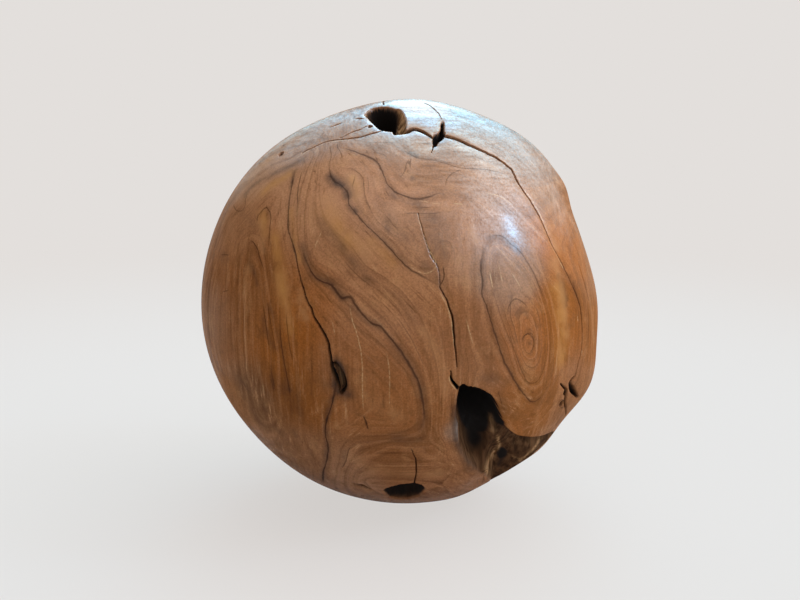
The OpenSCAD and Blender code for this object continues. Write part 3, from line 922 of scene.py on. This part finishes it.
def grain_leans(directions, places):
    """Shares of upright, falling, level and rising grain, from the run of the growth lines nearby."""
    known = np.vstack([(marks[1:] + marks[:-1]) / 2 for marks in GROWTH_MARKS])
    runs = np.vstack([np.diff(marks, axis=0) for marks in GROWTH_MARKS])
    angles = 2 * np.arctan2(runs[:, 1], runs[:, 0])
    turned = np.empty((len(places), 2))
    for part in in_parts(len(places)):
        x, y = (places[part][:, None, i] - known[None, :, i] for i in range(2))
        weight = np.exp(-(x * x + y * y) / LEAN_REACH ** 2)
        turned[part] = weight @ np.column_stack([np.cos(angles), np.sin(angles)])
    turned += np.array(UPRIGHT_PULL)
    double = np.arctan2(turned[:, 1], turned[:, 0])
    shares = [np.maximum(0, np.cos(double - math.radians(angle))) ** 2 for angle in LEANS.values()]
    flank = soft_step((np.abs(directions @ VIEW_RIGHT) - FLANK_START) / FLANK_FADE)
    return [(1 - flank) * share / sum(shares) for share in shares] + [flank]


def as_drawn(route):
    """Picture points of a route, left as they are."""
    return np.array(route, float)


def bands(places, drawn, lay=on_map, measure=MM):
    """Soft bands along routes, laid over one another, on the flat map or in the picture."""
    clear = np.ones(len(places))
    for route, half, strength in drawn:
        half = half * measure
        away = beside(places, smooth(lay(route)), 3 * half)[0]
        clear *= 1 - strength * rounded(away, half)
    return 1 - clear


# Share of a line over which each end tapers, and of its reach at which it has its full strength
LINE_TAPER = 1 / 8
LINE_FULL = 0.6

# Depth at which wood is raw, and depths at which the inside starts to take its black painted shade, with
# their fades
RAW_DEPTH = 2.5 * MM
HOLLOW_BLACK, HOLLOW_FADE = 0.5 * MM, 1.5 * MM
WORM_BLACK, WORM_FADE = 3 * MM, 5 * MM
CRACK_BLACK, CRACK_FADE = 5 / 3 * MM, 6 * MM


def nearest_line(places, drawn, reach_out):
    """Distance in millimetres from the nearest drawn line, signed by its side, and its strength there."""
    side = np.full(len(places), 2.0 * reach_out)
    strength = np.zeros(len(places))
    nearest = np.full(len(places), 2 * reach_out * MM)
    for route, power in drawn:
        away, passed = beside(places, smooth(on_map(route)), 2 * reach_out * MM)
        closer = np.abs(away) < nearest
        nearest[closer] = np.abs(away[closer])
        side[closer] = away[closer] / MM
        ends = np.clip(np.minimum(passed, 1 - passed) / LINE_TAPER, 0, 1)
        strength[closer] = (power * ends)[closer]
    strength *= np.clip((reach_out - nearest / MM) / (reach_out * (1 - LINE_FULL)), 0, 1)
    return side, strength


def tone_and_painted_light_levels(places):
    """Warmth, lightness and polish of the wood, spread from the tone spots; warmth and lightness carry
    painted light and shade.
    """
    total = np.full(len(places), TONE_FLOOR)
    levels = total[:, None] * np.array(BACK_TONE)
    for place, spread, *tone in TONES_AND_PAINTED_LIGHT:
        away = np.linalg.norm(places - on_map(place)[0], axis=1)
        weight = rounded(away, spread * MM)
        total = total + weight
        levels = levels + weight[:, None] * np.array(tone)
    return (levels / total[:, None]).T


def figure_levels(places):
    """How strongly the growth lines show."""
    strength = np.full(len(places), PLAIN_FIGURE)
    for place, spread, power in FIGURES:
        away = np.linalg.norm(places - on_map(place)[0], axis=1)
        strength = np.maximum(strength, power * rounded(away, spread * MM))
    return strength


def painted_hollow_shade(shown):
    """Painted shade, black inside the hollows, by the picture points at which they show."""
    painted_black = np.zeros(len(shown))
    for outline, fade, strength in PAINTED_HOLLOW_SHADE:
        edge = smooth(as_drawn(outline + outline[:1]))
        away = np.abs(beside(shown, edge, fade)[0])
        away[within(shown, edge)] = 0
        painted_black = np.maximum(painted_black, strength * (1 - soft_step(away / fade)))
    return painted_black


def paint(piece, name, values):
    """Keeps a value at each point of the piece for its material."""
    layer = piece.data.attributes.new(name, "FLOAT", "POINT")
    layer.data.foreach_set("value", np.ascontiguousarray(values, np.float32))


# What the wood's material reads at each point
paint(piece, "growth", growth_levels(directions, places, points))
for name, share in zip((*LEANS, "flank"), grain_leans(directions, places)):
    paint(piece, name, share)
for name, drawn, reach_out in (("vein", VEINS, 6), ("line", FINE_LINES, 5), ("hair", HAIR_LINES, 5),
                               ("scratch", SCRATCHES, 5)):
    side, strength = nearest_line(places, drawn, reach_out)
    paint(piece, name + "_side", side)
    paint(piece, name, strength)
for name, drawn in (("smoke_and_shade", SMOKE_AND_SHADE), ("pale", PALE), ("gold", GOLD)):
    paint(piece, name, bands(places, drawn))
# Warmth and lightness carry painted light and shade, besides the wood's own tone
for name, values in zip(("warm", "light", "polish"), tone_and_painted_light_levels(places)):
    paint(piece, name, values)
paint(piece, "figure", figure_levels(places))
# Raw wood inside cracks and hollows: rougher, unwaxed, and darker as painted shade
paint(piece, "raw", np.maximum(soft_step(np.maximum(cracks, holes) / RAW_DEPTH), bare))
shown = seen_at(points)
# Painted light on the hollows' lit walls, ridges and edges
paint(piece, "painted_lit", bands(shown, PAINTED_LIT_WOOD, as_drawn, 1))
# Painted shade: black in the hollows, worm holes and cracks, by where they show and by depth
painted_black = np.maximum(painted_hollow_shade(shown), bands(shown, INNER_SHADE, as_drawn, 1))
painted_black *= soft_step((sunk - HOLLOW_BLACK) / HOLLOW_FADE)
painted_black = np.maximum(painted_black, soft_step((worm - WORM_BLACK) / WORM_FADE))
paint(piece, "deep", np.maximum(painted_black, soft_step((cracks - CRACK_BLACK) / CRACK_FADE)))


class Graph:
    """Short hand for the nodes of one material or of the world."""

    def __init__(self, owner):
        owner.use_nodes = True
        self.tree = owner.node_tree
        self.shader = self.tree.nodes.get("Principled BSDF")

    def add(self, kind, inputs=(), **settings):
        node = self.tree.nodes.new("ShaderNode" + kind)
        for name, value in settings.items():
            setattr(node, name, value)
        for name, value in dict(inputs).items():
            self.put(node.inputs[name], value)
        return node

    def put(self, socket, value):
        if isinstance(value, bpy.types.NodeSocket):
            self.tree.links.new(value, socket)
        else:
            socket.default_value = value

    def read(self, name):
        return self.add("Attribute", attribute_name=name).outputs["Fac"]

    def math(self, operation, a, b=0.0, clamp=False):
        return self.add("Math", {0: a, 1: b}, operation=operation, use_clamp=clamp).outputs[0]

    def times(self, a, b):
        return self.math("MULTIPLY", a, b)

    def plus(self, a, b):
        return self.math("ADD", a, b)

    def less(self, a, b):
        return self.math("SUBTRACT", a, b)

    def off_line(self, name, ragged, share):
        """Distance from the nearest drawn line of a kind, with a ragged edge."""
        return self.math("ABSOLUTE", self.plus(self.read(name + "_side"), self.times(ragged, share)))

    def span(self, value, low, high, to_low=0.0, to_high=1.0, kind="SMOOTHSTEP"):
        """Carries a value from one span to another, held at its ends."""
        node = self.add("MapRange", interpolation_type=kind, clamp=True)
        for index, item in enumerate((value, low, high, to_low, to_high)):
            self.put(node.inputs[index], item)
        return node.outputs["Result"]

    def noise(self, vector, scale, detail=3.0, roughness=0.55):
        inputs = {"Vector": vector, "Scale": scale, "Detail": detail, "Roughness": roughness}
        return self.add("TexNoise", inputs).outputs["Fac"]

    def join(self, x, y, z):
        return self.add("CombineXYZ", {"X": x, "Y": y, "Z": z}).outputs[0]

    def mix(self, share, a, b, blend="MIX"):
        node = self.add("Mix", data_type="RGBA", blend_type=blend, clamp_factor=True)
        self.put(node.inputs[0], share)
        self.put(node.inputs[6], a)
        self.put(node.inputs[7], b)
        return node.outputs[2]


# Fineness of the grain across it, into it and along it, and the cosine of a slanting run
GRAIN_ACROSS = 280.0
GRAIN_DEEP = 85.0
GRAIN_ALONG = 9.0
SLANT = 0.707

# Colours of the wood, from its body to the marks on it and the torn wood inside, with the painted light and
# shade of the hollows
COOL_WOOD = (0.275, 0.136, 0.0705, 1)
WARM_WOOD = (0.33, 0.097, 0.017, 1)
RED_BLOTCH = (0.20, 0.075, 0.024, 1)
DARK_DRIFT = (0.15, 0.055, 0.018, 1)
PALE_DRIFT = (0.43, 0.188, 0.08, 1)
DARK_GRAIN = (0.105, 0.036, 0.011, 1)
PALE_GRAIN = (0.47, 0.208, 0.09, 1)
THIN_RING = (0.09, 0.031, 0.010, 1)
DARK_PATCH = (0.13, 0.048, 0.017, 1)
PALE_PATCH = (0.46, 0.22, 0.09, 1)
PORE = (0.085, 0.030, 0.011, 1)
NICK = (0.50, 0.27, 0.12, 1)
LATE_WOOD = (0.12, 0.042, 0.014, 1)
RING_LINE = (0.06, 0.020, 0.007, 1)
PALE_BAND = (0.50, 0.245, 0.105, 1)
GOLD_BAND = (0.46, 0.20, 0.052, 1)
SMOKE_AND_SHADE_BAND = (0.052, 0.026, 0.016, 1)
VEIN_HALO = (0.075, 0.032, 0.018, 1)
VEIN_CORE = (0.030, 0.013, 0.008, 1)
THIN_LINE = (0.045, 0.017, 0.008, 1)
SCRATCHED = (0.55, 0.34, 0.16, 1)
# Torn wood, darkened as painted shade of the recesses
TORN_DARK = (0.034, 0.016, 0.009, 1)
TORN_LIGHT = (0.118, 0.053, 0.025, 1)
# Painted light on the hollows' lit walls, ridges and edges
LIT_DARK = (0.10, 0.045, 0.018, 1)
LIT_LIGHT = (0.50, 0.265, 0.125, 1)
# Painted shade in the hollows, worm holes and cracks
PAINTED_SHADE_BLACK = (0.016, 0.013, 0.012, 1)


def wood_material():
    material = bpy.data.materials.new("waxed_root_wood")
    g = Graph(material)
    spot = g.add("TexCoord").outputs["Object"]
    axes = g.add("SeparateXYZ", {0: spot})
    x, y, z = (axes.outputs[name] for name in "XYZ")

    # Grain: runs of drawn-out noise, each where the wood grows that way
    fall = g.times(g.less(x, z), SLANT)
    rise = g.times(g.plus(x, z), SLANT)
    grain = 0.0
    for name, across, run, depth in (("upright", x, z, y), ("falling", rise, fall, y), ("level", z, x, y),
                                     ("rising", fall, rise, y), ("flank", y, z, x)):
        drawn = g.join(g.times(across, GRAIN_ACROSS), g.times(depth, GRAIN_DEEP), g.times(run, GRAIN_ALONG))
        part = g.times(g.noise(drawn, 1.0, 4.0, 0.65), g.read(name))
        grain = g.plus(grain, part)
    polish = g.read("polish")
    plain = g.span(polish, 0.0, 1.0, 0.85, 0.5, "LINEAR")
    pores = g.span(grain, 0.38, 0.26, 0.0, 0.65)
    nicks = g.times(g.span(grain, 0.61, 0.72, 0.0, 0.65), plain)
    grain = g.plus(g.times(g.less(grain, 0.5), plain), 0.5)
    blotch = g.noise(spot, 14, 3.0)
    patch = g.noise(spot, 48, 4.0, 0.6)
    speck = g.noise(spot, 420, 2.0)

    # Growth lines
    wobble = g.less(g.noise(spot, 26), 0.5)
    ripple = g.less(g.noise(spot, 120), 0.5)
    growth = g.plus(g.read("growth"), g.times(wobble, 0.7))
    growth = g.plus(growth, g.times(ripple, 0.25))
    ring = g.math("FRACT", growth)
    year = g.math("FLOOR", growth)
    chance = g.add("TexWhiteNoise", {"W": year}, noise_dimensions="1D").outputs["Value"]
    late = g.times(g.span(ring, 0.3, 0.95), g.span(ring, 0.95, 1.0, 1.0, 0.0))
    breaks = g.span(g.noise(spot, 34, 4), 0.36, 0.62, 0.15, 1.0)
    strength = g.times(g.plus(g.times(chance, 0.7), 0.3), breaks)
    strength = g.times(strength, g.read("figure"))
    band = g.times(late, strength)
    rings = g.times(g.math("POWER", late, 6.0), strength)

    # Body colour
    colour = g.mix(g.read("warm"), COOL_WOOD, WARM_WOOD)
    # Lightness carries painted light and shade: lighter at the top and in the sheen, darker at the bottom
    level = g.read("light")
    colour = g.mix(1.0, colour, g.join(level, level, level), "MULTIPLY")
    colour = g.mix(g.span(blotch, 0.4, 0.7, 0.0, 0.3), colour, RED_BLOTCH)
    drift = {"W": g.times(growth, 0.9), "Scale": 1.0, "Detail": 2.0}
    drift = g.add("TexNoise", drift, noise_dimensions="1D").outputs["Fac"]
    colour = g.mix(g.span(drift, 0.5, 0.3, 0.0, 0.32), colour, DARK_DRIFT)
    colour = g.mix(g.span(drift, 0.52, 0.7, 0.0, 0.25), colour, PALE_DRIFT)
    colour = g.mix(g.span(grain, 0.5, 0.32, 0.0, 0.55), colour, DARK_GRAIN)
    colour = g.mix(g.span(grain, 0.5, 0.68, 0.0, 0.4), colour, PALE_GRAIN)
    between = g.math("FRACT", g.times(growth, 3.0))
    between = g.times(g.span(between, 0.4, 0.95), g.span(between, 0.95, 1.0, 1.0, 0.0))
    between = g.times(g.math("POWER", between, 3.0), g.times(strength, 0.55))
    colour = g.mix(between, colour, THIN_RING)
    colour = g.mix(g.span(patch, 0.52, 0.72, 0.0, 0.35), colour, DARK_PATCH)
    colour = g.mix(g.span(patch, 0.46, 0.28, 0.0, 0.22), colour, PALE_PATCH)
    crisp = g.span(g.noise(spot, 640, 2.0, 0.6), 0.32, 0.68, 0.82, 1.17, "LINEAR")
    colour = g.mix(1.0, colour, g.join(crisp, crisp, crisp), "MULTIPLY")
    colour = g.mix(pores, colour, PORE)
    colour = g.mix(nicks, colour, NICK)
    colour = g.mix(g.times(band, 0.35), colour, LATE_WOOD)
    colour = g.mix(g.times(rings, 0.85), colour, RING_LINE)
    mottle = g.span(g.noise(spot, 70, 4), 0.3, 0.65, 0.45, 1.15)
    colour = g.mix(g.times(g.read("pale"), mottle), colour, PALE_BAND)
    colour = g.mix(g.times(g.read("gold"), mottle), colour, GOLD_BAND)
    # Smoky bands of the wood, with painted shade along the hollow
    colour = g.mix(g.times(g.read("smoke_and_shade"), mottle), colour, SMOKE_AND_SHADE_BAND)

    # Drawn veins, fine lines and scratches
    ragged = g.times(g.less(g.noise(spot, 150, 4), 0.5), 2.4)
    side = g.off_line("vein", ragged, 1.0)
    thick = g.span(g.noise(spot, 45, 2), 0.3, 0.7, 0.8, 2.2)
    core = g.span(side, 0.1, thick, 0.9, 0.0)
    halo = g.times(g.span(side, 0.5, 5.0, 0.2, 0.0), g.read("vein"))
    colour = g.mix(halo, colour, VEIN_HALO)
    colour = g.mix(g.times(core, g.read("vein")), colour, VEIN_CORE)
    side = g.off_line("line", ragged, 0.5)
    line = g.times(g.span(side, 0.1, 1.0, 0.85, 0.0), g.read("line"))
    side = g.off_line("hair", ragged, 0.5)
    line = g.math("MAXIMUM", line, g.times(g.span(side, 0.1, 0.9, 0.85, 0.0), g.read("hair")))
    colour = g.mix(line, colour, THIN_LINE)
    marks = g.math("MAXIMUM", line, g.times(core, g.read("vein")))
    side = g.off_line("scratch", ragged, 0.4)
    worn = g.span(speck, 0.4, 0.6, 0.25, 1.0)
    scratch = g.times(g.span(side, 0.1, 0.8, 0.75, 0.0), g.read("scratch"))
    colour = g.mix(g.times(scratch, worn), colour, SCRATCHED)

    # Torn wood inside the hollows and cracks: raw grain, far darker than the surface as painted shade of the
    # recesses
    inner = g.join(g.times(x, 190.0), g.times(y, 190.0), g.times(z, 16.0))
    torn = g.noise(inner, 1.0, 4.0, 0.6)
    inside = g.mix(g.span(torn, 0.3, 0.72), TORN_DARK, TORN_LIGHT)
    lit = g.mix(g.span(torn, 0.35, 0.65), LIT_DARK, LIT_LIGHT)
    colour = g.mix(g.read("raw"), colour, inside)
    # Painted light on the hollows' lit walls, ridges and edges, where painted shade is held back
    bare = g.read("painted_lit")
    # Painted shade, black in the hollows, worm holes and cracks
    deep = g.read("deep")
    streak = g.times(g.times(deep, g.less(1.0, deep)), g.less(torn, 0.5))
    painted_shade = g.span(g.plus(deep, g.times(streak, 4.0)), 0.1, 0.9)
    painted_shade = g.times(painted_shade, g.less(1.0, bare))
    colour = g.mix(g.times(bare, g.read("raw")), colour, lit)
    colour = g.mix(painted_shade, colour, PAINTED_SHADE_BLACK)
    g.put(g.shader.inputs["Base Color"], colour)

    # Wax, worn off at the grain and gone inside the hollows
    raw = g.read("raw")
    rough = g.plus(g.span(grain, 0.3, 0.7, 0.5, 0.36), g.times(raw, 0.4))
    g.put(g.shader.inputs["Roughness"], rough)
    g.shader.inputs["Specular IOR Level"].default_value = 0.0
    coat = g.times(polish, g.span(raw, 0.3, 0.9, 1.0, 0.0))
    coat = g.times(coat, g.less(1.0, g.times(marks, 0.8)))
    coat = g.times(coat, g.span(speck, 0.35, 0.6, 0.6, 1.0))
    g.put(g.shader.inputs["Coat Weight"], g.times(coat, g.span(grain, 0.42, 0.56, 0.6, 1.0)))
    g.shader.inputs["Coat Roughness"].default_value = 0.2
    g.shader.inputs["Coat IOR"].default_value = 1.7

    # Fine relief
    height = g.plus(grain, g.times(rings, -0.3))
    height = g.plus(height, g.times(torn, g.times(raw, 3.0)))
    bump = g.add("Bump", {"Height": height, "Strength": 0.3, "Distance": 0.0008})
    g.put(g.shader.inputs["Normal"], bump.outputs[0])
    return material


piece.data.materials.append(wood_material())
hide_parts("ball")
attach(piece, "root")


# Pale floor: how it shows, the share of that near the ball, its own colour, and how far the share grows
PALE_GLOW = (0.768, 0.738, 0.716, 1)
GLOW_SHARE = 0.82
FLOOR_COLOUR = (0.59, 0.545, 0.515, 1)
GLOW_NEAR = 0.5
GLOW_FAR = 1.6
FLOOR_W = 60
BACKDROP_R = 25
BACKDROP_H = 5
BACKDROP_SIDES = 96


def pale_material():
    material = bpy.data.materials.new("pale_floor")
    g = Graph(material)
    g.shader.inputs["Base Color"].default_value = FLOOR_COLOUR
    g.shader.inputs["Roughness"].default_value = 0.9
    g.shader.inputs["Specular IOR Level"].default_value = 0.0
    glow = g.add("Emission", {"Color": PALE_GLOW})
    path = g.add("LightPath").outputs
    seen = g.math("ADD", path["Is Camera Ray"], path["Is Glossy Ray"])
    seen = g.math("ADD", seen, path["Is Transmission Ray"], clamp=True)
    spot = g.add("TexCoord").outputs["Object"]
    away = g.add("VectorMath", {0: spot}, operation="LENGTH").outputs["Value"]
    share = g.math("MULTIPLY", seen, g.span(away, GLOW_NEAR, GLOW_FAR, GLOW_SHARE, 1.0))
    blend = g.add("MixShader", {0: share, 1: g.shader.outputs[0], 2: glow.outputs[0]})
    g.tree.links.new(blend.outputs[0], g.tree.nodes["Material Output"].inputs["Surface"])
    return material


def add_floor():
    """A wide floor, and a low round backdrop that hides the floor's end."""
    pale = pale_material()
    bpy.ops.object.select_all(action="DESELECT")
    bpy.ops.mesh.primitive_plane_add(size=FLOOR_W)
    floor = bpy.context.object
    bpy.ops.object.select_all(action="DESELECT")
    bpy.ops.mesh.primitive_cylinder_add(vertices=BACKDROP_SIDES, radius=BACKDROP_R, depth=BACKDROP_H,
                                        end_fill_type="NOTHING")
    backdrop = bpy.context.object
    for name, sheet in (("floor", floor), ("backdrop", backdrop)):
        sheet.name = name
        sheet.data.materials.append(pale)


# Soft glows of the studio: direction, brightness, colour, and the degrees at which they are full and gone
GLOWS = [
    ((0.22, -0.08, 0.97), 1.52, (0.96, 0.91, 0.89), 10, 52),
    ((0.80, -0.31, 0.51), 1.25, (0.9, 0.96, 1.03), 6, 36),
    ((0.12, 0.52, 0.85), 4.0, (0.42, 0.84, 1.0), 5, 26),
    ((0.07, 0.67, 0.74), 2.8, (0.0, 0.4, 1.0), 3, 15),
    ((0.10, 0.84, 0.53), 4.8, (0.28, 0.72, 1.0), 5, 22),
    ((0.07, 0.81, 0.585), 3.4, (1.0, 0.7, 0.45), 3.5, 9.5),
    ((0.03, 0.93, 0.37), 2.4, (1.0, 0.75, 0.5), 3, 9),
    ((0.04, 0.99, 0.12), 1.6, (0.35, 0.78, 1.0), 6, 27),
    ((0.64, 0.69, 0.33), 1.4, (0.78, 0.93, 1.0), 5, 26),
    ((0.42, 0.67, 0.60), 2.4, (0.42, 0.8, 1.0), 6, 22),
    ((0.50, 0.45, 0.74), 2.6, (0.55, 0.88, 1.0), 4, 16),
    ((0.71, 0.14, 0.69), 3.1, (0.86, 0.97, 1.04), 7, 26),
    ((-0.26, 0.68, 0.68), 1.8, (0.42, 0.78, 1.0), 8, 26),
    ((-0.30, 0.90, 0.30), 0.5, (0.6, 0.9, 1.0), 5, 24),
    ((-0.10, 0.91, 0.40), 1.0, (0.0, 0.45, 0.9), 4, 13),
    ((0.84, 0.16, 0.52), 1.7, (0.8, 0.95, 1.25), 6, 20),
    ((0.74, -0.28, 0.60), 1.6, (0.8, 0.92, 1.2), 5, 18),
]

# Tall window, as three soft lamps: name, direction and share of its strength
WINDOWS = [
    ("window_top", (0.780, -0.015, 0.614), 0.11),
    ("window", (0.828, -0.076, 0.556), 0.17),
    ("window_foot", (0.878, -0.127, 0.474), 0.085),
]
WINDOW_STRENGTH = 1.35
WINDOW_WIDTH = math.radians(5)
WINDOW_COLOUR = (0.2, 0.6, 1.0)
EVEN_GLOW = (0.255, 0.22, 0.196, 1)


def add_window(name, towards, share):
    lamp = bpy.data.lights.new(name, "SUN")
    lamp.energy = WINDOW_STRENGTH * share
    lamp.angle = WINDOW_WIDTH
    lamp.color = WINDOW_COLOUR
    sun = bpy.data.objects.new(name, lamp)
    sun.rotation_euler = Vector(towards).to_track_quat("Z", "Y").to_euler()
    bpy.context.scene.collection.objects.link(sun)


def add_lights():
    world = bpy.data.worlds.new("studio")
    bpy.context.scene.world = world
    g = Graph(world)
    towards = g.add("TexCoord").outputs["Generated"]
    colour = EVEN_GLOW
    for direction, brightness, tint, full, gone in GLOWS:
        close = g.add("VectorMath", {0: towards, 1: Vector(direction).normalized()}, operation="DOT_PRODUCT")
        share = g.span(close.outputs["Value"], math.cos(math.radians(gone)), math.cos(math.radians(full)))
        light = [brightness * part for part in tint] + [1]
        colour = g.mix(share, colour, light, "ADD")
    g.put(g.tree.nodes["Background"].inputs["Color"], colour)
    for window in WINDOWS:
        add_window(*window)


def add_camera():
    lens = bpy.data.cameras.new("camera")
    lens.sensor_width = SENSOR_W
    lens.lens = FOCAL_PX / PICTURE_W * SENSOR_W
    lens.shift_x = (CENTRE_PX[0] - MIDDLE_PX[0]) / PICTURE_W
    lens.shift_y = (MIDDLE_PX[1] - CENTRE_PX[1]) / PICTURE_W
    camera = bpy.data.objects.new("camera", lens)
    camera.location = MIDDLE + EYE_DISTANCE * VIEW_BACK
    camera.rotation_euler = Vector(VIEW_BACK).to_track_quat("Z", "Y").to_euler()
    bpy.context.scene.collection.objects.link(camera)
    bpy.context.scene.camera = camera


add_floor()
add_lights()
add_camera()
bpy.context.scene.view_settings.view_transform = "Standard"
